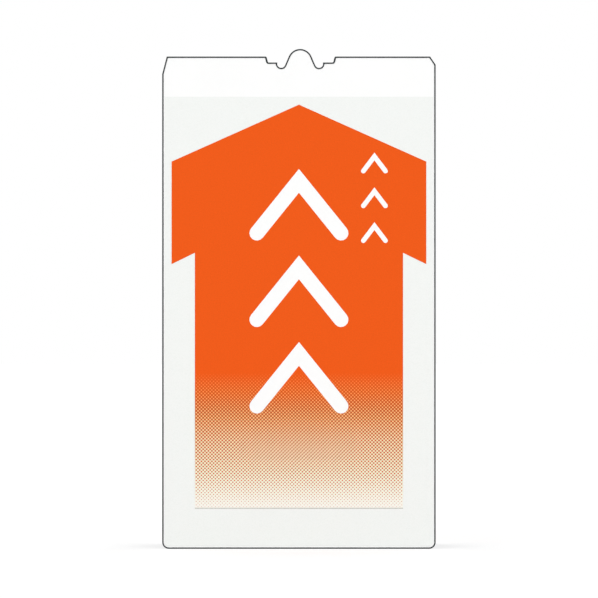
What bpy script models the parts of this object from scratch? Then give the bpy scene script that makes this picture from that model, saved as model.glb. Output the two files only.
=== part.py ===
"""Cone-mounted sign: two hinged boards back to back on a bridge that drops over a traffic cone's tip.

X runs to the right, the front board faces -Y and +Z is up. The origin is the centre of the collar's
lower mouth, where the cone enters. The boards hang upright and parallel.
"""

import math

import bmesh
import bpy
from mathutils import Matrix, Vector

MM = 0.001

# Board outline, seen from the front. Depths down the board are measured from its top edge.
BOARD_WIDTH = 275 * MM
BOARD_HEIGHT = 495 * MM
LEFT_CUT_ACROSS = 4.6 * MM
LEFT_CUT_DOWN = 17.6 * MM
RIGHT_CUT_ACROSS = 5.6 * MM
RIGHT_CUT_DOWN = 8.2 * MM
FOOT_RADIUS = 6.6 * MM
NOTCH_CENTRE = 1.65 * MM
NOTCH_TOP_HALF = 34.3 * MM
NOTCH_SHELF_HALF = 32.7 * MM
NOTCH_SHELF_DOWN = 6.0 * MM
NOTCH_TOP_RADIUS = 1.4 * MM
NOTCH_FOOT_RADIUS = 1.1 * MM
DIP_OFFSET = 19.0 * MM
DIP_DOWN = 11.4 * MM
DIP_RADIUS = 4.1 * MM
TONGUE_CENTRE = 1.2 * MM
TONGUE_RADIUS = 12.4 * MM
TONGUE_RISE = 7.6 * MM

# Board layers, as depths behind the front edge of the shell's rim
BOARD_DEPTH = 11 * MM
RIM_WALL = 1.4 * MM
PANEL_GAP = 0.3 * MM
OVERLAY_FRONT = 0.5 * MM
BASE_FRONT = 1.0 * MM
SHEET_FRONT = 1.5 * MM
FILM_THICKNESS = 0.3 * MM
PANEL_FRONT = 2.0 * MM
PANEL_THICKNESS = 2.5 * MM
WEB_THICKNESS = 1.6 * MM

# Graphic on the board
HEADER_DOWN = 40.4 * MM
SHEET_MARGIN = 2.6 * MM
ARROW_MARGIN = 9.5 * MM
ARROW_APEX_DOWN = 48.4 * MM
ARROW_SHOULDER_DOWN = 105.6 * MM
ARROW_BARB_DOWN = 208.7 * MM
ARROW_BARB_WIDTH = 23.4 * MM
ARROW_BARB_RISE = 11.4 * MM
ARROW_ABOVE_FOOT = 40.7 * MM
BASE_MARGIN = 0.4 * MM
LARGE_MARK_DOWNS = (149 * MM, 236 * MM, 323 * MM)
LARGE_MARK_HEIGHT = 72 * MM
LARGE_MARK_STROKE = 15 * MM
SMALL_MARK_DOWNS = (107 * MM, 142 * MM, 177 * MM)
SMALL_MARK_INSET = 28.7 * MM
SMALL_MARK_HALF_WIDTH = 13.5 * MM
SMALL_MARK_HEIGHT = 21 * MM
SMALL_MARK_STROKE = 4.8 * MM
MARK_GAP = 12.6 * MM

# Ribs on the back of a shell
RIB_WALL = 1.6 * MM
RIB_COLUMNS = 6
RIB_ROWS = 9
RIB_FIELD_DOWN = 48 * MM
RIB_BESIDE_SCREW = 9.6 * MM

# Panel screws and the bosses that take them
TOP_SCREW_DOWN = 27 * MM
SCREW_ROWS = (2, 5, 8)
BOSS_RADIUS = 3.0 * MM
BOSS_CLEARANCE = 0.3 * MM
SCREW_SHANK_RADIUS = 1.4 * MM
SCREW_BORE_CLEARANCE = 0.3 * MM
SCREW_WASHER_RADIUS = 4.6 * MM
SCREW_WASHER_THICKNESS = 0.8 * MM
SCREW_HEAD_RADIUS = 3.3 * MM
SCREW_HEAD_HEIGHT = 2.0 * MM
SCREW_CROWN_RADIUS = 2.0 * MM
SCREW_CROWN_DROP = 1.0 * MM
SCREW_WASHER_EDGE = 0.5 * MM
SCREW_POINT_RADIUS = 0.6 * MM
SCREW_POINT_LENGTH = 0.6 * MM
SCREW_RECESS_REACH = 1.9 * MM
SCREW_RECESS_WIDTH = 0.9 * MM
SCREW_RECESS_DEPTH = 1.3 * MM
BORE_FLOOR = 1.2 * MM
BOSS_SETBACK = 0.1 * MM
SHANK_TIP_GAP = 0.4 * MM

# Rubber rest pads that bear on the cone
PAD_RADIUS = 10 * MM
PAD_HEIGHT = 14 * MM
PAD_CROWN_RADIUS = 3.5 * MM
PAD_SHOULDER_RADIUS = 9.5 * MM
PAD_DOME = 4 * MM
PAD_STEM_RADIUS = 2.2 * MM
PAD_STEM_CLEARANCE = 0.3 * MM
PAD_ROW = 7

# Hinges
AXIS_DOWN = 8 * MM
HINGE_FROM_BRIDGE_END = 28 * MM
EAR_LENGTH = 16 * MM
KNUCKLE_LENGTH = 12 * MM
KNUCKLE_GAP = 0.5 * MM
KNUCKLE_RADIUS = 3.9 * MM
KNUCKLE_ROOT_HALF = 3.4 * MM
PIN_RADIUS = 1.6 * MM
PIN_CLEARANCE = 0.3 * MM
PIN_HEAD_RADIUS = 2.8 * MM
PIN_HEAD_THICKNESS = 1.4 * MM
PIN_HEAD_CHAMFER = 0.5 * MM
PIN_TAIL = 2.6 * MM
PIN_TIP_CHAMFER = 0.5 * MM
CLIP_RADIUS = 2.9 * MM
CLIP_THICKNESS = 1.0 * MM
CLIP_EDGE = 0.7 * MM
PIN_TO_WEB = 0.3 * MM
EAR_THICKNESS = 5 * MM
EAR_DROP = 12 * MM
EAR_POCKET_GAP = 0.7 * MM
EAR_POCKET_BELOW = 2 * MM

# Bridge over the cone's tip
SEAT_DOWN = 36 * MM
BRIDGE_BELOW_KNUCKLE = 1.4 * MM
BRIDGE_LENGTH = 224 * MM
BRIDGE_PLATE = 3 * MM
BRIDGE_SKIRT = 22 * MM
BRIDGE_WALL = 2 * MM
BRIDGE_CORNER = 4 * MM
BOARD_STOP_GAP = 0.4 * MM
LEDGE_X = 48 * MM
LEDGE_LENGTH = 16 * MM
LEDGE_WIDTH = 5 * MM
WINDOW_MARGIN = 6 * MM
WINDOW_RADIUS = 4 * MM
BRIDGE_RIB_WALL = 2 * MM
BRIDGE_RIB_DROP = 17 * MM
COLLAR_TO_SKIRT = 0.7 * MM

# Collar and liner, which take a cone with a side that slopes by this angle
CONE_SLOPE = math.radians(9.5)
SEAT_RADIUS = 33.0 * MM
LINER_WALL = 2.2 * MM
LINER_GAP = 0.3 * MM
LINER_LIP_WIDTH = 3.0 * MM
LINER_LIP_THICKNESS = 1.5 * MM
LINER_RIDGE = 0.7 * MM
LINER_RIDGES = 2
COLLAR_WALL = 2.4 * MM
COLLAR_RISE = 0.5 * MM
COLLAR_SHORT = 1.0 * MM

# How finely round shapes are cut
TONGUE_STEPS = 14
DIP_STEPS = 10
NOTCH_STEPS = 4
FOOT_STEPS = 6
CAP_STEPS = 8
KNUCKLE_SIDES = 20
SMALL_SIDES = 12
PAD_SIDES = 16
PAD_DOME_STEPS = 4
COLLAR_SIDES = 40
WINDOW_STEPS = 4
PITCH_ROUNDS = 6
CUT_OVERRUN = 1 * MM
MERGE = 0.00001

# Places across the boards and the bridge that follow from the sizes above
LINER_RADIUS = SEAT_RADIUS + LINER_WALL
COLLAR_BORE = LINER_RADIUS + LINER_GAP
COLLAR_RADIUS = COLLAR_BORE + COLLAR_WALL
SKIRT_Y = COLLAR_RADIUS + COLLAR_TO_SKIRT + BRIDGE_WALL
BOARD_INNER_Y = SKIRT_Y + BOARD_STOP_GAP
FACE_Y = BOARD_INNER_Y + BOARD_DEPTH
PANEL_BACK = PANEL_FRONT + PANEL_THICKNESS
WEB_FRONT = PANEL_BACK + PANEL_GAP
WEB_BACK = WEB_FRONT + WEB_THICKNESS
SCREW_SEAT = WEB_BACK + PANEL_GAP
AXIS_DEPTH = WEB_BACK + PIN_TO_WEB + max(CLIP_RADIUS, PIN_HEAD_RADIUS)
AXIS_Y = FACE_Y - AXIS_DEPTH
AXIS_BACK = BOARD_DEPTH - AXIS_DEPTH

# Places along and down the boards and the bridge that follow from the sizes above
ARROW_HALF_HEAD = BOARD_WIDTH / 2 - ARROW_MARGIN
ARROW_HALF_SHAFT = ARROW_HALF_HEAD - ARROW_BARB_WIDTH
ARROW_FOOT_DOWN = BOARD_HEIGHT - ARROW_ABOVE_FOOT
SMALL_MARK_X = ARROW_HALF_SHAFT - SMALL_MARK_INSET
LARGE_MARK_HALF_WIDTH = SMALL_MARK_X - SMALL_MARK_HALF_WIDTH - MARK_GAP
RIB_PITCH_X = (BOARD_WIDTH - 2 * RIM_WALL) / RIB_COLUMNS
RIB_PITCH_Z = (BOARD_HEIGHT - RIM_WALL - RIB_FIELD_DOWN) / RIB_ROWS
SCREW_X = BOARD_WIDTH / 2 - RIM_WALL - RIB_PITCH_X / 2
TOP_RIB_XS = (RIB_PITCH_X, SCREW_X + RIB_BESIDE_SCREW)
HINGE_X = BRIDGE_LENGTH / 2 - HINGE_FROM_BRIDGE_END
HINGE_HALF = EAR_LENGTH / 2 + KNUCKLE_GAP + KNUCKLE_LENGTH
BRIDGE_DOWN = AXIS_DOWN + KNUCKLE_RADIUS + BRIDGE_BELOW_KNUCKLE
CROSS_RIB_X = (COLLAR_RADIUS + BRIDGE_LENGTH / 2 - BRIDGE_WALL) / 2
SIDES = {"front": -1, "rear": 1}
HANDS = {"left": -1, "right": 1}


def level(down):
    """Height of a place that lies this far below the boards' top edge."""
    return SEAT_DOWN - down


def span(middle, length):
    """The two ends of a length about its middle."""
    return middle - length / 2, middle + length / 2


def row_middle(row):
    """Distance below the top edge of the middle of a row of rib pockets, counted from 0."""
    return RIB_FIELD_DOWN + RIB_PITCH_Z * (row + 0.5)


def clear_scene():
    for obj in list(bpy.data.objects):
        bpy.data.objects.remove(obj)


def new_collection(name):
    collection = bpy.data.collections.new(name)
    bpy.context.scene.collection.children.link(collection)
    return collection


def make_material(name, colour, roughness, metallic=0.0):
    """A Principled material with one linear colour."""
    material = bpy.data.materials.new(name)
    material.use_nodes = True
    shader = material.node_tree.nodes["Principled BSDF"]
    shader.inputs["Base Color"].default_value = (*colour, 1.0)
    shader.inputs["Roughness"].default_value = roughness
    shader.inputs["Metallic"].default_value = metallic
    material.diffuse_color = (*colour, 1.0)
    return material


clear_scene()
PARTS = new_collection("cone_mounted_sign")
CUTTERS = new_collection("cutters")
SLATE = make_material("slate_plastic", (0.06, 0.08, 0.08), 0.5)
WHITE = make_material("white_plastic", (0.9, 0.9, 0.9), 0.4)
GREY_SHEET = make_material("reflective_sheet", (0.89, 0.92, 0.88), 0.35)
WHITE_FILM = make_material("white_film", (0.95, 0.95, 0.95), 0.4)
ORANGE_FILM = make_material("orange_film", (0.89, 0.11, 0.012), 0.4)
STEEL = make_material("zinc_plated_steel", (0.6, 0.6, 0.58), 0.35, 1.0)
RUBBER = make_material("black_rubber", (0.02, 0.02, 0.02), 0.8)


def finish_mesh(obj, material):
    """Gives a new object its place in the parts collection, its material and its smooth shading."""
    PARTS.objects.link(obj)
    obj.data.materials.clear()
    obj.data.materials.append(material)
    obj.data.shade_smooth()
    obj.data.set_sharp_from_angle(angle=math.radians(35))
    return obj


def from_bmesh(name, bm, material):
    mesh = bpy.data.meshes.new(name)
    bm.to_mesh(mesh)
    bm.free()
    return finish_mesh(bpy.data.objects.new(name, mesh), material)


def arc(centre_x, centre_z, radius, start, end, steps):
    """Points along an arc, both ends included; angles in radians from +X."""
    angles = [start + (end - start) * i / steps for i in range(steps + 1)]
    return [(centre_x + radius * math.cos(a), centre_z + radius * math.sin(a)) for a in angles]


def box(name, low, high, material=SLATE):
    """A box between two corners."""
    low, high = Vector(low), Vector(high)
    size = high - low
    bm = bmesh.new()
    place = Matrix.Translation((low + high) / 2) @ Matrix.Diagonal((*size, 1.0))
    bmesh.ops.create_cube(bm, size=1.0, matrix=place)
    return from_bmesh(name, bm, material)


def rod(name, start, end, radius, end_radius=None, sides=SMALL_SIDES, material=SLATE):
    """A cylinder, or a cone where end_radius differs, from one point to another."""
    start, end = Vector(start), Vector(end)
    along = end - start
    turn = along.to_track_quat("Z", "Y").to_matrix().to_4x4()
    bm = bmesh.new()
    bmesh.ops.create_cone(
        bm,
        cap_ends=True,
        segments=sides,
        radius1=radius,
        radius2=radius if end_radius is None else end_radius,
        depth=along.length,
        matrix=Matrix.Translation((start + end) / 2) @ turn,
    )
    return from_bmesh(name, bm, material)


def plate(name, loops, low, high, material, upright=True):
    """A flat outline with its holes, given as closed loops of points, made solid between two levels.

    An upright plate lies in XZ and reaches from low to high in Y. Otherwise it lies in XY.
    """
    curve = bpy.data.curves.new(name, "CURVE")
    curve.dimensions = "2D"
    curve.fill_mode = "BOTH"
    curve.extrude = (high - low) / 2
    for points in loops:
        spline = curve.splines.new("POLY")
        spline.points.add(len(points) - 1)
        for point, (across, up) in zip(spline.points, points, strict=True):
            point.co = (across, up, 0.0, 1.0)
        spline.use_cyclic_u = True
    outline = bpy.data.objects.new(name + "_outline", curve)
    CUTTERS.objects.link(outline)
    middle = (low + high) / 2
    if upright:
        outline.rotation_euler = (math.radians(90), 0, 0)
        outline.location = (0, middle, 0)
    else:
        outline.location = (0, 0, middle)
    bpy.context.view_layer.update()
    evaluated = outline.evaluated_get(bpy.context.evaluated_depsgraph_get())
    mesh = bpy.data.meshes.new_from_object(evaluated)
    bm = bmesh.new()
    bm.from_mesh(mesh)
    bmesh.ops.remove_doubles(bm, verts=bm.verts, dist=MERGE)
    bm.to_mesh(mesh)
    bm.free()
    solid = bpy.data.objects.new(name, mesh)
    solid.matrix_world = outline.matrix_world
    bpy.data.objects.remove(outline)
    bpy.data.curves.remove(curve)
    return finish_mesh(solid, material)


def turned(name, profile, place, direction, sides, material, ring=False):
    """A turned shape whose profile of (radius, height) runs down its outer side, stood along direction."""
    mesh = bpy.data.meshes.new(name)
    edges = [(i, i + 1) for i in range(len(profile) - 1)]
    if ring:
        edges.append((len(profile) - 1, 0))
    mesh.from_pydata([(radius, 0.0, height) for radius, height in profile], edges, [])
    obj = bpy.data.objects.new(name, mesh)
    obj.rotation_euler = Vector(direction).to_track_quat("Z", "Y").to_euler()
    obj.location = place
    screw = obj.modifiers.new("turn", "SCREW")
    screw.steps = sides
    screw.render_steps = sides
    screw.use_merge_vertices = True
    screw.merge_threshold = MERGE
    PARTS.objects.link(obj)
    mesh.materials.append(material)
    return obj


def combine(target, tools, operation):
    """Joins tools to a piece, or cuts them from it, and keeps them as hidden guides."""
    for tool in tools:
        modifier = target.modifiers.new(tool.name, "BOOLEAN")
        modifier.operation = operation
        modifier.solver = "EXACT"
        modifier.object = tool
        PARTS.objects.unlink(tool)
        CUTTERS.objects.link(tool)
        tool.hide_render = True
        tool.display_type = "WIRE"
    return target


def join(target, *tools):
    return combine(target, tools, "UNION")


def cut(target, *tools):
    return combine(target, tools, "DIFFERENCE")


def corner_cut(across, down, inset):
    """The two sizes of a cut corner on an outline that lies inset from the first one."""
    slope = math.hypot(across, down)
    change = inset * (slope - across - down)
    return across + change / down, down + change / across


def rounded(before, corner, after, radius):
    """An arc that rounds the corner between two straight edges, or the corner where no radius is left."""
    if radius <= 0:
        return [corner]
    corner = Vector(corner)
    back = (Vector(before) - corner).normalized()
    ahead = (Vector(after) - corner).normalized()
    half = back.angle(ahead) / 2
    middle = corner + (back + ahead).normalized() * radius / math.sin(half)
    start = corner + back * radius / math.tan(half) - middle
    end = corner + ahead * radius / math.tan(half) - middle
    first = math.atan2(start.y, start.x)
    swing = math.remainder(math.atan2(end.y, end.x) - first, 2 * math.pi)
    return arc(*middle, radius, first, first + swing, NOTCH_STEPS)


def notch_side(inset, hand):
    """Half of the notch as (distance from the tongue's middle, height), from the tongue's top to the edge."""
    shift = hand * (NOTCH_CENTRE - TONGUE_CENTRE)
    tongue = TONGUE_RADIUS - inset
    dip = DIP_RADIUS + inset
    tongue_z = level(TONGUE_RADIUS - TONGUE_RISE)
    dip_z = level(DIP_DOWN - DIP_RADIUS)
    apart = math.hypot(DIP_OFFSET, tongue_z - dip_z)
    tilt = math.atan2(tongue_z - dip_z, DIP_OFFSET)
    touch = math.acos((TONGUE_RADIUS + DIP_RADIUS) / apart) - tilt
    shelf_z = level(NOTCH_SHELF_DOWN + inset)
    mouth = math.asin((shelf_z - dip_z) / dip)
    points = arc(0, tongue_z, tongue, math.pi / 2, touch, TONGUE_STEPS // 2)
    points += arc(DIP_OFFSET, dip_z, dip, touch - math.pi, mouth, DIP_STEPS)
    foot_corner = (NOTCH_SHELF_HALF + shift + inset, shelf_z)
    top_corner = (NOTCH_TOP_HALF + shift + inset, level(inset))
    outward = (BOARD_WIDTH, level(inset))
    points += rounded(points[-1], foot_corner, top_corner, NOTCH_FOOT_RADIUS + inset)
    points += rounded(foot_corner, top_corner, outward, NOTCH_TOP_RADIUS - inset)
    return points


def board_outline(inset=0.0):
    """The board's outline, or one that runs inset inside it, clockwise from the top left corner."""
    half = BOARD_WIDTH / 2 - inset
    top = level(inset)
    foot = level(BOARD_HEIGHT - inset)
    left_across, left_down = corner_cut(LEFT_CUT_ACROSS, LEFT_CUT_DOWN, inset)
    right_across, right_down = corner_cut(RIGHT_CUT_ACROSS, RIGHT_CUT_DOWN, inset)
    points = [(-half, top - left_down), (-half + left_across, top)]
    points += [(TONGUE_CENTRE - x, z) for x, z in reversed(notch_side(inset, -1)[1:])]
    points += [(TONGUE_CENTRE + x, z) for x, z in notch_side(inset, 1)]
    points += [(half - right_across, top), (half, top - right_down)]
    return points + foot_corners(half, foot, FOOT_RADIUS - inset)


def foot_corners(half, foot, radius):
    """The two rounded lower corners, from the right one to the left one."""
    right = arc(half - radius, foot + radius, radius, 0, -math.pi / 2, FOOT_STEPS)
    left = [(-x, z) for x, z in reversed(right)]
    return right + left


def sheet_outline():
    half = BOARD_WIDTH / 2 - SHEET_MARGIN
    head = level(HEADER_DOWN)
    corners = foot_corners(half, level(BOARD_HEIGHT - SHEET_MARGIN), FOOT_RADIUS - SHEET_MARGIN)
    return [(-half, head), (half, head), *corners]


def arrow_outline(inset=0.0):
    """The arrow, or one inset inside it."""
    head = ARROW_HALF_HEAD - inset
    shaft = ARROW_HALF_SHAFT - inset
    slope = (ARROW_SHOULDER_DOWN - ARROW_APEX_DOWN) / ARROW_HALF_HEAD
    apex = ARROW_APEX_DOWN + inset * math.hypot(1, slope)
    under_slope = ARROW_BARB_RISE / ARROW_BARB_WIDTH
    under = ARROW_BARB_DOWN - under_slope * ARROW_HALF_HEAD - inset * math.hypot(1, under_slope)
    right = [
        (head, level(apex + slope * head)),
        (head, level(under + under_slope * head)),
        (shaft, level(under + under_slope * shaft)),
        (shaft, level(ARROW_FOOT_DOWN - inset)),
    ]
    return [(0, level(apex)), *right, *[(-x, z) for x, z in reversed(right)]]


def chevron(centre_x, down, half_width, height, stroke):
    """A plain chevron that points up, with round ends.

    The pitch of its arms depends on how far the stroke reaches at the tip, which depends on the pitch,
    so a few rounds settle it.
    """
    half = stroke / 2
    reach = half_width - half
    pitch = 0.0
    for _ in range(PITCH_ROUNDS):
        pitch = math.atan2(height - half - half / math.cos(pitch), reach)
    end_z = level(down) - height / 2 + half
    peak_z = end_z + reach * math.tan(pitch)
    tip = half / math.cos(pitch)
    right = arc(reach, end_z, half, math.pi / 2 - pitch, -math.pi / 2 - pitch, CAP_STEPS)
    left = [(-x, z) for x, z in reversed(right)]
    loop = [(0, peak_z + tip), *right, (0, peak_z - tip), *left]
    return [(centre_x + x, z) for x, z in loop]


def marks(right):
    """The plain marks knocked out of the arrow, in a large column and a small one to its right.

    right is 1 where a reader in front of the board has +X on the right, and else -1.
    """
    large = (LARGE_MARK_HALF_WIDTH, LARGE_MARK_HEIGHT, LARGE_MARK_STROKE)
    small = (SMALL_MARK_HALF_WIDTH, SMALL_MARK_HEIGHT, SMALL_MARK_STROKE)
    loops = [chevron(0, down, *large) for down in LARGE_MARK_DOWNS]
    return loops + [chevron(right * SMALL_MARK_X, down, *small) for down in SMALL_MARK_DOWNS]


def screw_places():
    downs = [TOP_SCREW_DOWN, *[row_middle(row) for row in SCREW_ROWS]]
    return [(hand * SCREW_X, down) for hand in HANDS.values() for down in downs]


def pad_places():
    return [(hand * RIB_PITCH_X / 2, row_middle(PAD_ROW)) for hand in HANDS.values()]


class Board:
    """One board: its side of the bridge, and the empty on its hinge axis that carries its pieces."""

    def __init__(self, side):
        self.side = side
        self.sign = SIDES[side]
        self.axis = bpy.data.objects.new(side + "_leaf_axis", None)
        self.axis.location = (0, self.sign * AXIS_Y, level(AXIS_DOWN))
        PARTS.objects.link(self.axis)

    def y(self, depth):
        """World Y of a place that lies this deep behind the front edge of the rim."""
        return self.sign * (FACE_Y - depth)

    def at(self, x, depth, down):
        return (x, self.y(depth), level(down))

    def flat(self, name, loops, front, back, material):
        low, high = sorted((self.y(front), self.y(back)))
        return plate(name, loops, low, high, material)

    def block(self, name, xs, depths, downs, material=SLATE):
        ys = sorted(self.y(depth) for depth in depths)
        zs = sorted(level(down) for down in downs)
        x_low, x_high = sorted(xs)
        return box(name, (x_low, ys[0], zs[0]), (x_high, ys[1], zs[1]), material)

    def carry(self, obj):
        """Hangs a piece on the hinge axis without moving it."""
        obj.parent = self.axis
        obj.location = obj.location - self.axis.location

    def shell_ribs(self):
        """The ribs on the back, as bars that the back pocket leaves standing."""
        bars = []
        deep = (WEB_BACK - CUT_OVERRUN, BOARD_DEPTH + 2 * CUT_OVERRUN)
        half = RIB_WALL / 2
        foot = BOARD_HEIGHT + CUT_OVERRUN
        for i in range(1, RIB_COLUMNS):
            x = -BOARD_WIDTH / 2 + RIM_WALL + i * RIB_PITCH_X
            bars.append(((x - half, x + half), (RIB_FIELD_DOWN, foot)))
        for i in range(RIB_ROWS):
            down = RIB_FIELD_DOWN + i * RIB_PITCH_Z
            bars.append(((-BOARD_WIDTH, BOARD_WIDTH), (down - half, down + half)))
        for hand in HANDS.values():
            for x in TOP_RIB_XS:
                bars.append(((hand * x - half, hand * x + half), (-CUT_OVERRUN, RIB_FIELD_DOWN)))
        name = self.side + "_rib_"
        return [self.block(name + str(i), xs, deep, downs) for i, (xs, downs) in enumerate(bars)]

    def knuckle(self, name, x_low, x_high, radius):
        ends = (self.at(x_low, AXIS_DEPTH, AXIS_DOWN), self.at(x_high, AXIS_DEPTH, AXIS_DOWN))
        return rod(name, *ends, radius, sides=KNUCKLE_SIDES)

    def shell(self):
        """Slate shell: rim, web, ribs and the hinge knuckles, cut for the bridge's ears and the pins."""
        name = self.side + "_shell"
        shell = self.flat(name, [board_outline()], 0, BOARD_DEPTH, SLATE)
        inner = [board_outline(RIM_WALL)]
        front_pocket = self.flat(name + "_front_pocket", inner, -CUT_OVERRUN, WEB_FRONT, SLATE)
        back_pocket = self.flat(name + "_back_pocket", inner, WEB_BACK, BOARD_DEPTH + CUT_OVERRUN, SLATE)
        cut(back_pocket, *self.shell_ribs())
        cut(shell, front_pocket, back_pocket)
        for hand, hand_sign in HANDS.items():
            centre = hand_sign * HINGE_X
            for end, end_sign in (("inner", -hand_sign), ("outer", hand_sign)):
                x_low, x_high = sorted((centre + end_sign * EAR_LENGTH / 2, centre + end_sign * HINGE_HALF))
                label = f"{name}_{hand}_{end}"
                knuckle = self.knuckle(label + "_knuckle", x_low, x_high, KNUCKLE_RADIUS)
                depths = (WEB_FRONT + WEB_THICKNESS / 2, AXIS_DEPTH)
                downs = (AXIS_DOWN - KNUCKLE_ROOT_HALF, AXIS_DOWN + KNUCKLE_ROOT_HALF)
                join(shell, knuckle, self.block(label + "_root", (x_low, x_high), depths, downs))
            pocket_half = EAR_LENGTH / 2 + KNUCKLE_GAP
            pocket = self.block(
                f"{name}_{hand}_ear_pocket",
                (centre - pocket_half, centre + pocket_half),
                (WEB_FRONT - CUT_OVERRUN, AXIS_DEPTH + KNUCKLE_RADIUS + CUT_OVERRUN),
                (AXIS_DOWN - KNUCKLE_RADIUS - EAR_POCKET_GAP, AXIS_DOWN + EAR_DROP + EAR_POCKET_BELOW),
            )
            reach = HINGE_HALF + CUT_OVERRUN
            bore_radius = PIN_RADIUS + PIN_CLEARANCE
            bore = self.knuckle(f"{name}_{hand}_bore", centre - reach, centre + reach, bore_radius)
            cut(shell, pocket, bore)
        for i, (x, down) in enumerate(screw_places()):
            ends = (self.at(x, WEB_FRONT - CUT_OVERRUN, down), self.at(x, WEB_BACK + CUT_OVERRUN, down))
            cut(shell, rod(f"{name}_boss_hole_{i}", *ends, BOSS_RADIUS + BOSS_CLEARANCE))
        for i, (x, down) in enumerate(pad_places()):
            ends = (self.at(x, WEB_FRONT - CUT_OVERRUN, down), self.at(x, WEB_BACK + CUT_OVERRUN, down))
            cut(shell, rod(f"{name}_stem_hole_{i}", *ends, PAD_STEM_RADIUS + PAD_STEM_CLEARANCE))
        self.carry(shell)

    def panel(self):
        """White face panel with the screw bosses on its back."""
        name = self.side + "_face_panel"
        panel = self.flat(name, [board_outline(RIM_WALL + PANEL_GAP)], PANEL_FRONT, PANEL_BACK, WHITE)
        boss_top = WEB_BACK - BOSS_SETBACK
        for i, (x, down) in enumerate(screw_places()):
            boss_ends = (self.at(x, PANEL_BACK - PANEL_THICKNESS / 2, down), self.at(x, boss_top, down))
            bore_ends = (self.at(x, PANEL_FRONT + BORE_FLOOR, down), self.at(x, boss_top + CUT_OVERRUN, down))
            join(panel, rod(f"{name}_boss_{i}", *boss_ends, BOSS_RADIUS))
            cut(panel, rod(f"{name}_bore_{i}", *bore_ends, SCREW_SHANK_RADIUS + SCREW_BORE_CLEARANCE))
        self.carry(panel)

    def films(self):
        """The reflective sheet, the arrow's white base and its orange overlay."""
        sheet = (SHEET_FRONT, SHEET_FRONT + FILM_THICKNESS)
        base = (BASE_FRONT, BASE_FRONT + FILM_THICKNESS)
        overlay = (OVERLAY_FRONT, OVERLAY_FRONT + FILM_THICKNESS)
        self.carry(self.flat(self.side + "_reflective_sheet", [sheet_outline()], *sheet, GREY_SHEET))
        self.carry(self.flat(self.side + "_arrow_base", [arrow_outline(BASE_MARGIN)], *base, WHITE_FILM))
        loops = [arrow_outline(), *marks(-self.sign)]
        self.carry(self.flat(self.side + "_arrow_overlay", loops, *overlay, ORANGE_FILM))

    def screws(self):
        """Washer-head screws through the web into the panel's bosses, with a cross recess."""
        shank = SCREW_SEAT - PANEL_FRONT - BORE_FLOOR - SHANK_TIP_GAP
        crown = SCREW_WASHER_THICKNESS + SCREW_HEAD_HEIGHT
        profile = [
            (0, crown),
            (SCREW_CROWN_RADIUS, crown),
            (SCREW_HEAD_RADIUS, crown - SCREW_CROWN_DROP),
            (SCREW_HEAD_RADIUS, SCREW_WASHER_THICKNESS),
            (SCREW_WASHER_RADIUS, SCREW_WASHER_EDGE),
            (SCREW_WASHER_RADIUS, 0),
            (SCREW_SHANK_RADIUS, 0),
            (SCREW_SHANK_RADIUS, SCREW_POINT_LENGTH - shank),
            (SCREW_POINT_RADIUS, -shank),
            (0, -shank),
        ]
        inward = (0, -self.sign, 0)
        top = SCREW_SEAT + crown
        for i, (x, down) in enumerate(screw_places(), start=1):
            name = f"{self.side}_panel_screw_{i}"
            place = self.at(x, SCREW_SEAT, down)
            screw = turned(name, profile, place, inward, SMALL_SIDES, STEEL)
            deep = (top - SCREW_RECESS_DEPTH, top + CUT_OVERRUN)
            wide, narrow = SCREW_RECESS_REACH, SCREW_RECESS_WIDTH / 2
            flat_arm = self.block(name + "_arm", (x - wide, x + wide), deep, (down - narrow, down + narrow))
            tall_arm = self.block(name + "_cross", (x - narrow, x + narrow), deep, (down - wide, down + wide))
            join(flat_arm, tall_arm)
            cut(screw, flat_arm)
            self.carry(screw)

    def pads(self):
        """Domed rubber pads, pushed through the web by their stems."""
        stem = WEB_THICKNESS + PANEL_GAP
        profile = [(0, PAD_HEIGHT)]
        for i in range(1, PAD_DOME_STEPS):
            lean = math.pi / 2 * i / PAD_DOME_STEPS
            radius = PAD_CROWN_RADIUS + (PAD_SHOULDER_RADIUS - PAD_CROWN_RADIUS) * math.sin(lean)
            profile.append((radius, PAD_HEIGHT - PAD_DOME * (1 - math.cos(lean))))
        profile += [
            (PAD_RADIUS, 0),
            (PAD_STEM_RADIUS, 0),
            (PAD_STEM_RADIUS, -stem),
            (0, -stem),
        ]
        inward = (0, -self.sign, 0)
        for hand, (x, down) in zip(HANDS, pad_places(), strict=True):
            place = self.at(x, SCREW_SEAT, down)
            pad = turned(f"{self.side}_{hand}_rest_pad", profile, place, inward, PAD_SIDES, RUBBER)
            self.carry(pad)


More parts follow.
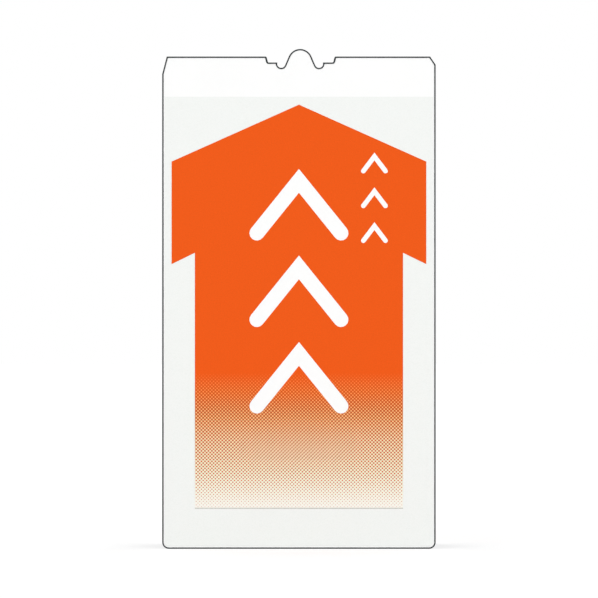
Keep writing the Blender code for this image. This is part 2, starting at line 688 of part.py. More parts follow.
def add_pins(board):
    """Headed pins through ear and knuckles, each with a clip on its outer end. The bridge holds them."""
    grip = 2 * HINGE_HALF + 2 * PIN_CLEARANCE
    profile = [
        (0, PIN_HEAD_THICKNESS),
        (PIN_HEAD_RADIUS - PIN_HEAD_CHAMFER, PIN_HEAD_THICKNESS),
        (PIN_HEAD_RADIUS, PIN_HEAD_THICKNESS - PIN_HEAD_CHAMFER),
        (PIN_HEAD_RADIUS, 0),
        (PIN_RADIUS, 0),
        (PIN_RADIUS, PIN_TIP_CHAMFER - grip - PIN_TAIL),
        (PIN_RADIUS - PIN_TIP_CHAMFER, -grip - PIN_TAIL),
        (0, -grip - PIN_TAIL),
    ]
    inner = PIN_RADIUS + PIN_CLEARANCE
    clip_profile = [
        (inner, CLIP_THICKNESS),
        (CLIP_RADIUS, CLIP_EDGE),
        (CLIP_RADIUS, 0),
        (inner, 0),
    ]
    for hand, sign in HANDS.items():
        near = sign * (HINGE_X - HINGE_HALF - PIN_CLEARANCE)
        far = sign * (HINGE_X + HINGE_HALF + PIN_CLEARANCE)
        label = f"{board.side}_{hand}"
        head_place = board.at(near, AXIS_DEPTH, AXIS_DOWN)
        clip_place = board.at(far, AXIS_DEPTH, AXIS_DOWN)
        turned(label + "_hinge_pin", profile, head_place, (-sign, 0, 0), SMALL_SIDES, STEEL)
        turned(label + "_pin_clip", clip_profile, clip_place, (sign, 0, 0), SMALL_SIDES, STEEL, ring=True)


def rounded_rectangle(half_x, half_y, radius, centre=(0.0, 0.0)):
    points = []
    for quarter, (sx, sy) in enumerate(((1, 1), (-1, 1), (-1, -1), (1, -1))):
        start = quarter * math.pi / 2
        x = centre[0] + sx * (half_x - radius)
        y = centre[1] + sy * (half_y - radius)
        points += arc(x, y, radius, start, start + math.pi / 2, WINDOW_STEPS)
    return points


def cone_radius(z, at_seat):
    """Radius at a height, of a surface that slopes with the cone and has this radius at the seat."""
    return at_seat - z * math.tan(CONE_SLOPE)


def bridge_ears(bridge, board):
    """Ears on one side of the bridge, each a knuckle on a block that grows out of the skirt."""
    stop_depth = AXIS_DEPTH + AXIS_DOWN
    stop_down = AXIS_DOWN + AXIS_BACK + BOARD_STOP_GAP
    for hand, sign in HANDS.items():
        label = f"bridge_{board.side}_{hand}"
        xs = span(sign * HINGE_X, EAR_LENGTH)
        knuckle = board.knuckle(label + "_knuckle", *xs, KNUCKLE_RADIUS)
        block = board.block(
            label + "_block", xs, span(AXIS_DEPTH, EAR_THICKNESS), (AXIS_DOWN, AXIS_DOWN + EAR_DROP)
        )
        ledge = board.block(
            label + "_ledge",
            span(sign * LEDGE_X, LEDGE_LENGTH),
            span(stop_depth, LEDGE_WIDTH),
            (stop_down, BRIDGE_DOWN + BRIDGE_PLATE / 2),
        )
        bore_xs = span(sign * HINGE_X, EAR_LENGTH + 2 * CUT_OVERRUN)
        join(bridge, knuckle, block, ledge)
        cut(bridge, board.knuckle(label + "_bore", *bore_xs, PIN_RADIUS + PIN_CLEARANCE))


def bridge_windows():
    """Outlines of the windows in the plate, each a margin inside its bay between collar, ribs and skirt."""
    rib_half = BRIDGE_RIB_WALL / 2
    bays = (
        (COLLAR_RADIUS, CROSS_RIB_X - rib_half),
        (CROSS_RIB_X + rib_half, BRIDGE_LENGTH / 2 - BRIDGE_WALL),
    )
    half_y = (SKIRT_Y - BRIDGE_WALL - rib_half) / 2
    middle_y = rib_half + half_y
    outlines = []
    for low, high in bays:
        half_x = (high - low) / 2
        for sx in HANDS.values():
            for sy in SIDES.values():
                centre = (sx * (low + half_x), sy * middle_y)
                size = (half_x - WINDOW_MARGIN, half_y - WINDOW_MARGIN)
                outlines.append(rounded_rectangle(*size, WINDOW_RADIUS, centre))
    return outlines


def add_bridge(boards):
    """Slate bridge: plate with windows, skirt, collar, ribs, hinge ears and opening stops."""
    half = BRIDGE_LENGTH / 2
    top = level(BRIDGE_DOWN)
    under = top - BRIDGE_PLATE
    skirt_foot = top - BRIDGE_SKIRT
    outline = rounded_rectangle(half, SKIRT_Y, BRIDGE_CORNER)
    inner = rounded_rectangle(half - BRIDGE_WALL, SKIRT_Y - BRIDGE_WALL, BRIDGE_CORNER - BRIDGE_WALL)
    bridge = plate("cone_bridge", [outline], skirt_foot, top, SLATE, upright=False)
    hollow = plate("bridge_hollow", [inner], skirt_foot - CUT_OVERRUN, under, SLATE, upright=False)
    cut(bridge, hollow)
    for i, window in enumerate(bridge_windows()):
        cutter = plate(f"bridge_window_{i}", [window], under - CUT_OVERRUN, top + CUT_OVERRUN, SLATE, False)
        cut(bridge, cutter)
    rib_foot = top - BRIDGE_RIB_DROP
    rib_top = top - BRIDGE_PLATE / 2
    rib_half = BRIDGE_RIB_WALL / 2
    end = half - BRIDGE_WALL / 2
    side = SKIRT_Y - BRIDGE_WALL / 2
    join(bridge, box("bridge_long_rib", (-end, -rib_half, rib_foot), (end, rib_half, rib_top)))
    for hand, sign in HANDS.items():
        x = sign * CROSS_RIB_X
        low, high = (x - rib_half, -side, rib_foot), (x + rib_half, side, rib_top)
        join(bridge, box(f"bridge_{hand}_cross_rib", low, high))
    collar_top = top + COLLAR_RISE
    collar_foot = COLLAR_SHORT
    collar_radii = [cone_radius(z, COLLAR_RADIUS) for z in (collar_foot, collar_top)]
    ends = ((0, 0, collar_foot), (0, 0, collar_top))
    join(bridge, rod("collar_body", *ends, *collar_radii, sides=COLLAR_SIDES))
    bore_foot = collar_foot - CUT_OVERRUN
    bore_top = collar_top + CUT_OVERRUN
    bore_radii = [cone_radius(z, COLLAR_BORE) for z in (bore_foot, bore_top)]
    cut(bridge, rod("collar_bore", (0, 0, bore_foot), (0, 0, bore_top), *bore_radii, sides=COLLAR_SIDES))
    for board in boards:
        bridge_ears(bridge, board)


def add_liner():
    """Rubber liner: a lip over the collar's top edge, and ridges inside that grip the cone."""
    lip_foot = level(BRIDGE_DOWN) + COLLAR_RISE + LINER_GAP
    top = lip_foot + LINER_LIP_THICKNESS
    lip_radius = cone_radius(lip_foot, LINER_RADIUS) + LINER_LIP_WIDTH
    profile = [
        (cone_radius(top, SEAT_RADIUS), top),
        (lip_radius, top),
        (lip_radius, lip_foot),
        (cone_radius(lip_foot, LINER_RADIUS), lip_foot),
        (LINER_RADIUS, 0),
        (SEAT_RADIUS, 0),
    ]
    pitch = lip_foot / (LINER_RIDGES + 1)
    for i in range(1, LINER_RIDGES + 1):
        z = i * pitch
        wall = [(cone_radius(z + step, SEAT_RADIUS), z + step) for step in (-LINER_RIDGE, LINER_RIDGE)]
        crest = (cone_radius(z, SEAT_RADIUS) - LINER_RIDGE, z)
        profile += [wall[0], crest, wall[1]]
    turned("collar_liner", profile, (0, 0, 0), (0, 0, 1), COLLAR_SIDES, RUBBER, ring=True)


def build():
    boards = [Board(side) for side in SIDES]
    for board in boards:
        board.shell()
        board.panel()
        board.films()
        board.screws()
        board.pads()
        add_pins(board)
    add_bridge(boards)
    add_liner()


build()
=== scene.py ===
"""Looks of the cone-mounted sign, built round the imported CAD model.

X runs to the right, the front board faces -Y and +Z is up. Lengths are in metres. Depths on a board
are measured from the front edge of its rim, and downs from its top edge.
"""

import math

import bmesh
import bpy
from mathutils import Matrix, Vector


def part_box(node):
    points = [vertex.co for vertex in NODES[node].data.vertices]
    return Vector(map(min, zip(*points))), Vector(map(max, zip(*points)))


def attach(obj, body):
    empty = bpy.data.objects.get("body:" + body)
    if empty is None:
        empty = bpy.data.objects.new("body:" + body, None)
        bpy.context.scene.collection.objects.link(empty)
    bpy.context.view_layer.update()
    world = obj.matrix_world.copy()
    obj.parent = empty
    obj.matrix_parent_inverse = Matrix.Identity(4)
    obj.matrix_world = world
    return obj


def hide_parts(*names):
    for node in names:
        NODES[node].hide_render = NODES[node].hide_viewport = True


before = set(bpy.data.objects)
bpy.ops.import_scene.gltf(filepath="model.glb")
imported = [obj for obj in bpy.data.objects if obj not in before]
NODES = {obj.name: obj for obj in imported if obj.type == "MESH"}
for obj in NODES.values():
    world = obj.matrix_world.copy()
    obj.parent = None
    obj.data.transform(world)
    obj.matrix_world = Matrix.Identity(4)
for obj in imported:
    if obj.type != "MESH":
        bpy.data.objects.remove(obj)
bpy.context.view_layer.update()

MM = 0.001
MERGE = 0.01 * MM
SIDES = {"front": -1, "rear": 1}
HANDS = {"left": -1, "right": 1}
SCREWS = range(1, 9)

# Board, as in the CAD model
FACE_Y = 52 * MM
TOP_Z = 36 * MM
FOOT_Z = -459 * MM

# The films are bonded to the panel and to each other, so they are thinner than their CAD solids
OVERLAY_FRONT = 0.15 * MM
FILM_PITCH = 0.1 * MM
FILM_THICKNESS = 0.08 * MM
PANEL_FRONT = 0.45 * MM
PANEL_GROWTH = 0.28 * MM

# The arrow's print. Each row of the fade gives a down in mm, and the ink's share or a colour there.
DOT_SPACING = 3.5 * MM
DOT_EDGE = 0.16
FADE_SHARES = (
    (318, 1.0),
    (328, 0.68),
    (350, 0.64),
    (362, 0.59),
    (374, 0.53),
    (398, 0.44),
    (410, 0.39),
    (422, 0.32),
    (434, 0.21),
    (446, 0.1),
    (455, 0.03),
)
FADE_TINTS = (
    (318, "#FC6722"),
    (338, "#FE9850"),
    (362, "#FECC8B"),
    (386, "#FEEABE"),
    (416, "#FCF8D8"),
    (455, "#FFFCF4"),
)
FADE_INKS = ((318, "#F45B0C"), (356, "#CB5018"), (455, "#CB5018"))
DOT_SHARE_STEPS = 24
DOT_SHARE_HALVINGS = 20
ARROW_FOOT_DOWN = 454.3 * MM
KEYLINE = 0.42 * MM

# Mouldings, with angles in degrees
MOULD_ROUND = 0.2 * MM
MOULD_ROUND_SEGMENTS = 2
MOULD_LEAST_ANGLE = 25
FLAT_WITHIN = 0.5
BAY_AREA = 2000 * MM * MM
EJECTOR_RADIUS = 3.6 * MM
EJECTOR_SLOPE = 0.3 * MM
EJECTOR_DEPTH = 0.3 * MM
EJECTOR_OUT = 13 * MM
EJECTOR_BELOW = 14 * MM
EJECTOR_SIDES = 28

# Angles over which edges are shaded sharp, in degrees
SHEET_CREASE = 20
STEEL_CREASE = 30
RUBBER_CREASE = 40

# Hardware, with heights from the face that each piece seats on. Rings, and the liner's sizes, are in mm.
SCREW_HEIGHT = 2.8 * MM
SCREW_CROWN = 2.3 * MM
SCREW_SIDES = 32
RECESS_REACH = 1.9 * MM
RECESS_HALF_WIDTH = 0.45 * MM
RECESS_FLOORS = ((1.9 * MM, 0.74), (1.45 * MM, 0.5))
PIN_HEAD_HEIGHT = 1.4 * MM
PIN_GRIP = 41.6 * MM
PIN_SIDES = 40
CLIP_TEETH = 6
CLIP_STEPS_PER_TOOTH = 8
CLIP_RINGS = ((2.88, 0.02), (2.6, 0.04), (2.2, 0.16), (1.85, 0.36), (1.5, 0.6))
CLIP_SLOT_REACH = 2.2 * MM
CLIP_TOOTH_HALF = 0.37
CLIP_GAUGE = 0.26 * MM
PAD_HEIGHT = 14.0 * MM
PAD_SIDES = 56
LINER_SLOPE = math.tan(math.radians(9.5))
LINER_MOUTH_RADIUS = 33.0
LINER_WALL = 2.2
LINER_LIP_FOOT = 23.5
LINER_TOP = 25.0
LINER_SIDES = 96

# The photograph's frame: a flat view from far away, straight at the front board
CAMERA_AWAY = 5.0
CAMERA_REACH = 50
FRAME_WIDTH = 0.6012
SENSOR_WIDTH = 36.0
CAMERA_X = 0.07 * MM
CAMERA_Z = -207.8 * MM

# Studio, with each sun's azimuth and elevation in degrees and its strength
SKY_LIGHT = 0.6
SUN_SPREAD = 40
SUN_AWAY = 3
SUNS = {
    "key_left": (-38, 22, 0.94),
    "fill_right": (34, 20, 0.73),
    "back_left": (-140, 22, 0.78),
    "back_right": (145, 20, 0.89),
}
FLOOR_GLOW = 0.66
FLOOR_REACH = 14


def linear(code):
    """An sRGB hex colour as the linear colour that a shader takes."""
    channels = [int(code[i : i + 2], 16) / 255 for i in (1, 3, 5)]
    return (*[c / 12.92 if c <= 0.04045 else ((c + 0.055) / 1.055) ** 2.4 for c in channels], 1.0)


def add_node(tree, kind, inputs=None, output=0, **settings):
    """Adds a node, or uses the one given, with its settings and its inputs' values or links."""
    node = tree.nodes.new(kind) if isinstance(kind, str) else kind
    for name, setting in settings.items():
        setattr(node, name, setting)
    for name, value in (inputs or {}).items():
        if isinstance(value, bpy.types.NodeSocket):
            tree.links.new(value, node.inputs[name])
        else:
            node.inputs[name].default_value = value
    return node.outputs[output]


def new_material(name):
    """A new material, its tree and its Principled shader."""
    material = bpy.data.materials.new(name)
    material.use_nodes = True
    return material, material.node_tree, material.node_tree.nodes["Principled BSDF"]


def slate_abs():
    """Injection-moulded ABS, slate grey, from a spark-eroded mould.

    The eye sees a matt, finely grained skin that is slightly cloudy and a little rubbed on its edges.
    """
    material, tree, shader = new_material("slate_abs_moulded")
    place = add_node(tree, "ShaderNodeTexCoord", output="Object")
    # The real grain is about 0.15 mm. It is drawn at 0.5 mm so that it shows in the render.
    grain = add_node(tree, "ShaderNodeTexNoise", {"Vector": place, "Scale": 1 / (0.5 * MM), "Detail": 3.0})
    pits = add_node(tree, "ShaderNodeMapRange", {"Value": grain, "From Min": 0.34, "From Max": 0.66})
    cloud = add_node(tree, "ShaderNodeTexNoise", {"Vector": place, "Scale": 1 / (35 * MM), "Detail": 3.0})
    patch = add_node(tree, "ShaderNodeTexNoise", {"Vector": place, "Scale": 1 / (9 * MM), "Detail": 4.0})
    body = add_node(
        tree,
        "ShaderNodeMix",
        {"Factor": cloud, 6: linear("#20282A"), 7: linear("#2B3233")},
        output=2,
        data_type="RGBA",
    )
    tops = add_node(
        tree,
        "ShaderNodeMix",
        {"Factor": pits, 6: linear("#DDDDDD"), 7: linear("#FFFFFF")},
        output=2,
        data_type="RGBA",
    )
    grained = add_node(
        tree,
        "ShaderNodeMix",
        {"Factor": 1.0, 6: body, 7: tops},
        output=2,
        data_type="RGBA",
        blend_type="MULTIPLY",
    )
    edge = add_node(tree, "ShaderNodeAttribute", output="Fac", attribute_name="edge")
    share = add_node(
        tree, "ShaderNodeMapRange", {"Value": patch, "From Min": 0.35, "From Max": 0.7, "To Max": 0.7}
    )
    rub = add_node(tree, "ShaderNodeMath", {0: edge, 1: share}, operation="MULTIPLY")
    colour = add_node(
        tree, "ShaderNodeMix", {"Factor": rub, 6: grained, 7: linear("#525B5C")}, output=2, data_type="RGBA"
    )
    roughness = add_node(
        tree,
        "ShaderNodeMapRange",
        {"Value": cloud, "From Min": 0.3, "From Max": 0.7, "To Min": 0.5, "To Max": 0.62},
    )
    relief = add_node(tree, "ShaderNodeBump", {"Height": pits, "Distance": 0.08 * MM, "Strength": 0.6})
    add_node(
        tree,
        shader,
        {"Base Color": colour, "Roughness": roughness, "Normal": relief, "Specular IOR Level": 0.32},
    )
    return material


def white_polystyrene():
    """High-impact polystyrene, white: a smooth moulded face with a faint orange peel."""
    material, tree, shader = new_material("white_polystyrene")
    place = add_node(tree, "ShaderNodeTexCoord", output="Object")
    cloud = add_node(tree, "ShaderNodeTexNoise", {"Vector": place, "Scale": 1 / (60 * MM), "Detail": 2.0})
    peel = add_node(tree, "ShaderNodeTexNoise", {"Vector": place, "Scale": 1 / (3.5 * MM), "Detail": 2.0})
    colour = add_node(
        tree,
        "ShaderNodeMix",
        {"Factor": cloud, 6: linear("#F8F9F8"), 7: linear("#FBFBFB")},
        output=2,
        data_type="RGBA",
    )
    roughness = add_node(
        tree,
        "ShaderNodeMapRange",
        {"Value": cloud, "From Min": 0.3, "From Max": 0.7, "To Min": 0.32, "To Max": 0.4},
    )
    relief = add_node(tree, "ShaderNodeBump", {"Height": peel, "Distance": 0.03 * MM, "Strength": 0.3})
    add_node(
        tree,
        shader,
        {"Base Color": colour, "Roughness": roughness, "Normal": relief, "Specular IOR Level": 0.3},
    )
    return material


def bead_sheeting():
    """Engineering-grade reflective sheeting: a clear smooth face over a bed of glass beads.

    The eye sees a pale grey-green with a faint sparkle.
    """
    material, tree, shader = new_material("glass_bead_sheeting")
    place = add_node(tree, "ShaderNodeTexCoord", output="Object")
    # The beads are about 0.06 mm. The bed is drawn with cells of 1.1 mm so that its sparkle shows.
    beads = add_node(tree, "ShaderNodeTexVoronoi", {"Vector": place, "Scale": 1 / (1.1 * MM)})
    colour = add_node(
        tree,
        "ShaderNodeMix",
        {"Factor": beads, 6: linear("#F3F5F3"), 7: linear("#EDF0ED")},
        output=2,
        data_type="RGBA",
    )
    relief = add_node(tree, "ShaderNodeBump", {"Height": beads, "Distance": 0.02 * MM, "Strength": 0.3})
    add_node(
        tree, shader, {"Base Color": colour, "Roughness": 0.36, "Normal": relief, "Specular IOR Level": 0.3}
    )
    return material


def white_vinyl():
    """Cast vinyl film, white: evenly satin, with a faint waviness from the way it was laid."""
    material, tree, shader = new_material("white_vinyl_film")
    place = add_node(tree, "ShaderNodeTexCoord", output="Object")
    cloud = add_node(tree, "ShaderNodeTexNoise", {"Vector": place, "Scale": 1 / (25 * MM), "Detail": 2.0})
    skin = add_node(tree, "ShaderNodeTexNoise", {"Vector": place, "Scale": 1 / (2 * MM), "Detail": 2.0})
    colour = add_node(
        tree,
        "ShaderNodeMix",
        {"Factor": cloud, 6: linear("#F8F9F8"), 7: linear("#FBFBFB")},
        output=2,
        data_type="RGBA",
    )
    relief = add_node(tree, "ShaderNodeBump", {"Height": skin, "Distance": 0.01 * MM, "Strength": 0.3})
    add_node(
        tree, shader, {"Base Color": colour, "Roughness": 0.4, "Normal": relief, "Specular IOR Level": 0.3}
    )
    return material


def dot_share(threshold):
    """Share of ink in the dot screen, whose soft-edged dots stand where two cosine waves peak."""
    waves = [math.cos(math.pi * (i + 0.5) / DOT_SHARE_STEPS) for i in range(DOT_SHARE_STEPS)]
    cells = [(a * b - threshold + DOT_EDGE) / (2 * DOT_EDGE) for a in waves for b in waves]
    return sum(max(0.0, min(1.0, ink)) for ink in cells) / len(cells)


def dot_threshold(share):
    """The threshold at which the dot screen has this share of ink."""
    low, high = -1 - DOT_EDGE, 1 + DOT_EDGE
    for _ in range(DOT_SHARE_HALVINGS):
        middle = (low + high) / 2
        if dot_share(middle) > share:
            low = middle
        else:
            high = middle
    return (low + high) / 2


def screen_ink():
    """Screen-printed orange ink on white film.

    The eye sees a matt and even coat, broken into a 45 degree dot screen lower down.
    """
    material, tree, shader = new_material("orange_screen_ink")
    place = add_node(tree, "ShaderNodeTexCoord", output="Object")
    axes = add_node(tree, "ShaderNodeSeparateXYZ", {"Vector": place}).node.outputs
    # The print's dots are 3.3 mm apart. They are drawn slightly coarser so that they show in the render.
    waves = []
    for axis in ("X", "Z"):
        turn = add_node(
            tree, "ShaderNodeMath", {0: axes[axis], 1: 2 * math.pi / DOT_SPACING}, operation="MULTIPLY"
        )
        waves.append(add_node(tree, "ShaderNodeMath", {0: turn}, operation="COSINE"))
    screen = add_node(tree, "ShaderNodeMath", {0: waves[0], 1: waves[1]}, operation="MULTIPLY")
    first, last = FADE_SHARES[0][0], FADE_SHARES[-1][0]
    widest = 1 + DOT_EDGE
    fall = add_node(
        tree,
        "ShaderNodeMapRange",
        {"Value": axes["Z"], "From Min": TOP_Z - first * MM, "From Max": TOP_Z - last * MM},
    )
    curve = add_node(tree, "ShaderNodeFloatCurve", {"Value": fall})
    mapping = curve.node.mapping
    points = [
        ((down - first) / (last - first), (dot_threshold(share) + widest) / (2 * widest))
        for down, share in FADE_SHARES
    ]
    mapping.curves[0].points[0].location = points[0]
    mapping.curves[0].points[-1].location = points[-1]
    for point in points[1:-1]:
        mapping.curves[0].points.new(*point)
    mapping.update()
    threshold = add_node(tree, "ShaderNodeMapRange", {"Value": curve, "To Min": -widest, "To Max": widest})
    above = add_node(tree, "ShaderNodeMath", {0: screen, 1: threshold}, operation="SUBTRACT")
    dots = add_node(
        tree, "ShaderNodeMapRange", {"Value": above, "From Min": -DOT_EDGE, "From Max": DOT_EDGE}
    )
    key_line = add_node(
        tree, "ShaderNodeMath", {0: axes["Z"], 1: TOP_Z - ARROW_FOOT_DOWN + KEYLINE}, operation="LESS_THAN"
    )
    # The print fades twice over: a tint under the dots goes from orange to cream as the dots shrink.
    ramps = []
    for stops in (FADE_TINTS, FADE_INKS):
        ramp = add_node(tree, "ShaderNodeValToRGB", {"Fac": fall})
        elements = ramp.node.color_ramp.elements
        elements[0].color = linear(stops[0][1])
        elements[1].color = linear(stops[-1][1])
        for down, code in stops[1:-1]:
            elements.new((down - first) / (last - first)).color = linear(code)
        ramps.append(ramp)
    print_colour = add_node(
        tree, "ShaderNodeMix", {"Factor": dots, 6: ramps[0], 7: ramps[1]}, output=2, data_type="RGBA"
    )
    lined = add_node(
        tree,
        "ShaderNodeMix",
        {"Factor": key_line, 6: print_colour, 7: linear("#80705C")},
        output=2,
        data_type="RGBA",
    )
    # The printing mesh leaves a texture of about 0.2 mm. It is drawn at 1.4 mm so that it shows.
    skin = add_node(tree, "ShaderNodeTexNoise", {"Vector": place, "Scale": 1 / (1.4 * MM), "Detail": 2.0})
    lay = add_node(
        tree,
        "ShaderNodeMix",
        {"Factor": skin, 6: linear("#FFFFFF"), 7: linear("#EDEDED")},
        output=2,
        data_type="RGBA",
    )
    colour = add_node(
        tree,
        "ShaderNodeMix",
        {"Factor": 1.0, 6: lined, 7: lay},
        output=2,
        data_type="RGBA",
        blend_type="MULTIPLY",
    )
    roughness = add_node(tree, "ShaderNodeMapRange", {"Value": dots, "To Min": 0.4, "To Max": 0.52})
    relief = add_node(tree, "ShaderNodeBump", {"Height": skin, "Distance": 0.01 * MM, "Strength": 0.3})
    add_node(
        tree,
        shader,
        {"Base Color": colour, "Roughness": roughness, "Normal": relief, "Specular IOR Level": 0.12},
    )
    return material


def zinc_plate():
    """Zinc-plated steel: a bright metal a little clouded and blue from its passivation."""
    material, tree, shader = new_material("zinc_plated_steel")
    place = add_node(tree, "ShaderNodeTexCoord", output="Object")
    cloud = add_node(tree, "ShaderNodeTexNoise", {"Vector": place, "Scale": 1 / (1.6 * MM), "Detail": 4.0})
    # The plating's crystals are about 0.02 mm. They are drawn at 0.5 mm so that they show.
    skin = add_node(tree, "ShaderNodeTexNoise", {"Vector": place, "Scale": 1 / (0.5 * MM), "Detail": 2.0})
    colour = add_node(
        tree,
        "ShaderNodeMix",
        {"Factor": cloud, 6: linear("#B9BFC4"), 7: linear("#D8D7D0")},
        output=2,
        data_type="RGBA",
    )
    roughness = add_node(
        tree,
        "ShaderNodeMapRange",
        {"Value": cloud, "From Min": 0.3, "From Max": 0.7, "To Min": 0.24, "To Max": 0.42},
    )
    relief = add_node(tree, "ShaderNodeBump", {"Height": skin, "Distance": 0.01 * MM, "Strength": 0.4})
    add_node(
        tree, shader, {"Base Color": colour, "Metallic": 1.0, "Roughness": roughness, "Normal": relief}
    )
    return material


def epdm_rubber():
    """Moulded EPDM rubber: near black, matt, with a fine skin and a trace of grey bloom."""
    material, tree, shader = new_material("epdm_rubber")
    place = add_node(tree, "ShaderNodeTexCoord", output="Object")
    bloom = add_node(tree, "ShaderNodeTexNoise", {"Vector": place, "Scale": 1 / (5 * MM), "Detail": 5.0})
    # The mould's blasted skin is about 0.1 mm. It is drawn at 0.6 mm so that it shows.
    skin = add_node(tree, "ShaderNodeTexNoise", {"Vector": place, "Scale": 1 / (0.6 * MM), "Detail": 3.0})
    share = add_node(tree, "ShaderNodeMapRange", {"Value": bloom, "From Min": 0.4, "From Max": 0.75})
    colour = add_node(
        tree,
        "ShaderNodeMix",
        {"Factor": share, 6: linear("#1B1C1D"), 7: linear("#303233")},
        output=2,
        data_type="RGBA",
    )
    roughness = add_node(tree, "ShaderNodeMapRange", {"Value": bloom, "To Min": 0.66, "To Max": 0.84})
    relief = add_node(tree, "ShaderNodeBump", {"Height": skin, "Distance": 0.4 * MM, "Strength": 0.7})
    add_node(
        tree,
        shader,
        {"Base Color": colour, "Roughness": roughness, "Normal": relief, "Specular IOR Level": 0.35},
    )
    return material


SLATE = slate_abs()
POLYSTYRENE = white_polystyrene()
SHEETING = bead_sheeting()
VINYL = white_vinyl()
INK = screen_ink()
ZINC = zinc_plate()
RUBBER = epdm_rubber()


def place_piece(bm, node, suffix, material, body, smooth):
    """Makes a finished mesh a piece that rides on a body and stands for a CAD node.

    Edges over the smooth angle are shaded sharp. Without one, the mesh's own sharp edges stay.
    """
    mesh = bpy.data.meshes.new(node + suffix)
    bm.to_mesh(mesh)
    bm.free()
    mesh.materials.append(material)
    mesh.shade_smooth()
    if smooth:
        mesh.set_sharp_from_angle(angle=math.radians(smooth))
    piece = bpy.data.objects.new(node + suffix, mesh)
    bpy.context.scene.collection.objects.link(piece)
    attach(piece, body)
    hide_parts(node)
    return piece


def merged(node):
    """A merged copy of a CAD node's mesh, with its flat faces made whole and no stored normals."""
    copy = NODES[node].data.copy()
    normals = copy.attributes.get("custom_normal")
    if normals:
        copy.attributes.remove(normals)
    bm = bmesh.new()
    bm.from_mesh(copy)
    bpy.data.meshes.remove(copy)
    bmesh.ops.remove_doubles(bm, verts=bm.verts, dist=MERGE)
    bmesh.ops.dissolve_limit(bm, angle_limit=math.radians(FLAT_WITHIN), verts=bm.verts, edges=bm.edges)
    for edge in bm.edges:
        edge.smooth = True
    return bm


def soften(bm):
    """Rounds the sharp edges of a moulding and marks the rounds in an attribute."""
    least = math.radians(MOULD_LEAST_ANGLE)
    sharp = [e for e in bm.edges if e.is_manifold and e.calc_face_angle() > least]
    edge = bm.faces.layers.float.new("edge")
    rounds = bmesh.ops.bevel(
        bm,
        geom=sharp,
        offset=MOULD_ROUND,
        offset_type="OFFSET",
        segments=MOULD_ROUND_SEGMENTS,
        profile=0.5,
        affect="EDGES",
        clamp_overlap=False,
        material=-1,
    )
    for face in rounds["faces"]:
        face[edge] = 1.0


def ejector_marks(bm, sign):
    """Leaves a shallow dish in each plain bay of a shell's web, where a pin pushed it out of the mould."""
    bm.normal_update()
    upright = Matrix.Rotation(math.radians(90), 4, "X")
    inward = [f for f in bm.faces if f.normal.y * sign < -0.99]
    for bay in [f for f in inward if len(f.verts) == 4 and f.calc_area() > BAY_AREA]:
        place = bay.calc_center_bounds()
        place.x += math.copysign(EJECTOR_OUT, place.x)
        place.z -= EJECTOR_BELOW
        outline = list(bay.edges)
        bmesh.ops.delete(bm, geom=[bay], context="FACES_ONLY")
        circle = bmesh.ops.create_circle(
            bm, segments=EJECTOR_SIDES, radius=EJECTOR_RADIUS, matrix=Matrix.Translation(place) @ upright
        )
        rim = list({edge for vert in circle["verts"] for edge in vert.link_edges})
        bmesh.ops.triangle_fill(bm, use_beauty=True, edges=[*outline, *rim])
        dish = bmesh.ops.contextual_create(bm, geom=rim)["faces"]
        dish[0].normal_update()
        depth = EJECTOR_DEPTH if dish[0].normal.y * sign > 0 else -EJECTOR_DEPTH
        bmesh.ops.inset_region(bm, faces=dish, thickness=EJECTOR_SLOPE, depth=depth, use_even_offset=True)
        for edge in {*rim, *dish[0].edges}:
            edge.smooth = False
    bmesh.ops.recalc_face_normals(bm, faces=bm.faces)


def moulding(node, body, sign=0):
    """Shows a slate moulding with rounded edges, and a shell with the marks of its ejector pins."""
    bm = merged(node)
    soften(bm)
    if sign:
        ejector_marks(bm, sign)
    piece = place_piece(bm, node, "_moulding", SLATE, body, None)
    # Large faces rule the normals, so that flats look flat right up to their rounds
    flats = piece.modifiers.new("flats", "WEIGHTED_NORMAL")
    flats.keep_sharp = True


def face_panel(side):
    """The white panel, which fits snugly in the shell's rim and comes close to the rim's front."""
    sign = SIDES[side]
    node = side + "_face_panel"
    bm = merged(node)
    bm.normal_update()
    front = max(bm.faces, key=lambda face: face.normal.y * sign * face.calc_area())
    moves = {}
    for corner in front.loops:
        vert = corner.vert
        walls = [corner.link_loop_prev.edge, corner.edge]
        ends = [corner.link_loop_prev.vert.co, vert.co, corner.link_loop_next.vert.co]
        out = [(b - a).normalized().cross(front.normal) for a, b in zip(ends, ends[1:])]
        move = (out[0] + out[1]) * PANEL_GROWTH / (1 + out[0].dot(out[1]))
        moves[vert] = move
        for edge in vert.link_edges:
            if edge not in walls:
                moves[edge.other_vert(vert)] = move
    for vert, move in moves.items():
        vert.co += move
    for vert in front.verts:
        vert.co.y = sign * (FACE_Y - PANEL_FRONT)
    place_piece(bm, node, "_sheet", POLYSTYRENE, side + "_board", SHEET_CREASE)


def film(side, name, layer, material):
    """A film at its real thickness. Layers are counted from the overlay, which is 0."""
    sign = SIDES[side]
    node = side + "_" + name
    bm = merged(node)
    middle = sum(v.co.y for v in bm.verts) / len(bm.verts)
    front = OVERLAY_FRONT + layer * FILM_PITCH
    for v in bm.verts:
        outer = abs(v.co.y) > abs(middle)
        v.co.y = sign * (FACE_Y - (front if outer else front + FILM_THICKNESS))
    place_piece(bm, node, "_film", material, side + "_board", SHEET_CREASE)


